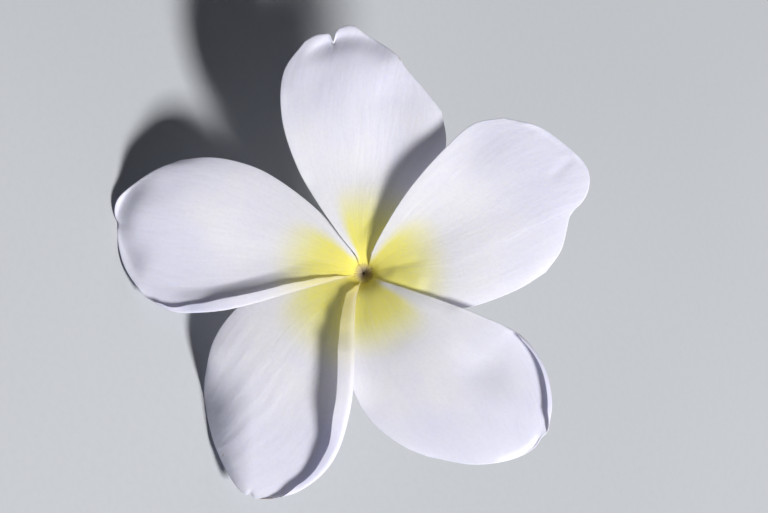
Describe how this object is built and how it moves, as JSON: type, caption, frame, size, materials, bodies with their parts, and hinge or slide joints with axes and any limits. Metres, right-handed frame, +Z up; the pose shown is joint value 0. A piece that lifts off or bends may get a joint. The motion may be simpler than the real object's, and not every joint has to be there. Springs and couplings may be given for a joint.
{
  "type": "frangipani flower",
  "caption": "A picked white and yellow frangipani flower with overlapping petals, a slender tube, a calyx and a short stalk, lying on a surface with its face up.",
  "frame": {"origin": "on the surface that the flower lies on, under the middle of its bounding box", "axes": "+Z up; the face looks up and towards -Y, with the top petal pointing to -X and the right-hand petals raised; the tube and stalk point down and towards +Y"},
  "size_m": [0.0708, 0.0572, 0.045],
  "materials": {
    "petal": "satin",
    "tube": "satin",
    "green": "matte",
    "anther": "matte"
  },
  "bodies": {
    "root": {"petal_top": "petal", "petal_upper_right": "petal", "petal_lower_right": "petal", "petal_lower_left": "petal", "petal_left": "petal", "corolla_tube": "tube", "calyx": "green", "pedicel": "green", "stamen_1": "anther", "stamen_2": "anther", "stamen_3": "anther", "stamen_4": "anther", "stamen_5": "anther", "pistil": "green"}
  },
  "joints": []
}
